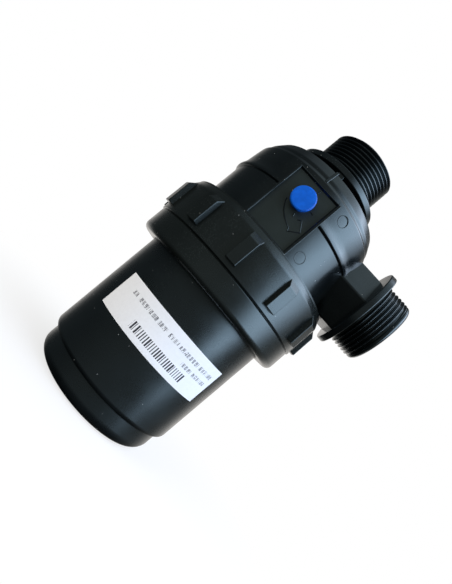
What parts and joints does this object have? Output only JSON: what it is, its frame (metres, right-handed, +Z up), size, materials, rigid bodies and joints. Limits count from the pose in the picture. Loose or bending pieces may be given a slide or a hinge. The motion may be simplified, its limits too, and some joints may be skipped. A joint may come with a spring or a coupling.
{
  "type": "suction filter",
  "caption": "Plastic suction filter: domed head with an axial and a side male threaded port, lugged ring nut, stepped bowl, mesh cartridge and a round colour plug on a framed panel.",
  "frame": {"origin": "centre of the flat bottom of the bowl, on which the filter stands", "axes": "+Z up the main axis to the axial port, +X along the side port, -Y out of the front panel with the plug"},
  "size_m": [0.1314, 0.1096, 0.1978],
  "materials": {
    "head_casing": "satin black polypropylene",
    "colour_plug": "smooth blue plastic",
    "ring_nut": "satin black polypropylene",
    "bowl": "satin black polypropylene",
    "bowl_seal": "black rubber",
    "cartridge_cage": "grey polypropylene",
    "mesh_sleeve": "woven stainless steel mesh",
    "cartridge_seal": "black rubber",
    "label": "white printed paper"
  },
  "bodies": {
    "head": {"head_casing": "head_casing", "colour_plug": "colour_plug"},
    "bowl_set": {"bowl": "bowl", "bowl_seal": "bowl_seal", "cartridge_cage": "cartridge_cage", "mesh_sleeve": "mesh_sleeve", "cartridge_seal": "cartridge_seal", "label": "label"},
    "nut": {"ring_nut": "ring_nut"}
  },
  "joints": [
    {"name": "bowl_drop", "type": "slide", "parent": "head", "child": "bowl_set", "axis": [0, 0, -1], "range_m": [0, 0.012]},
    {"name": "nut_turn", "type": "hinge", "parent": "bowl_set", "child": "nut", "pos_m": [0, 0, 0.0965], "axis": [0, 0, -1], "range_deg": [0, 540]}
  ],
  "couplings": [
    {"joint": "bowl_drop", "follows": "nut_turn", "m_per_rad": 0.0012732}
  ]
}
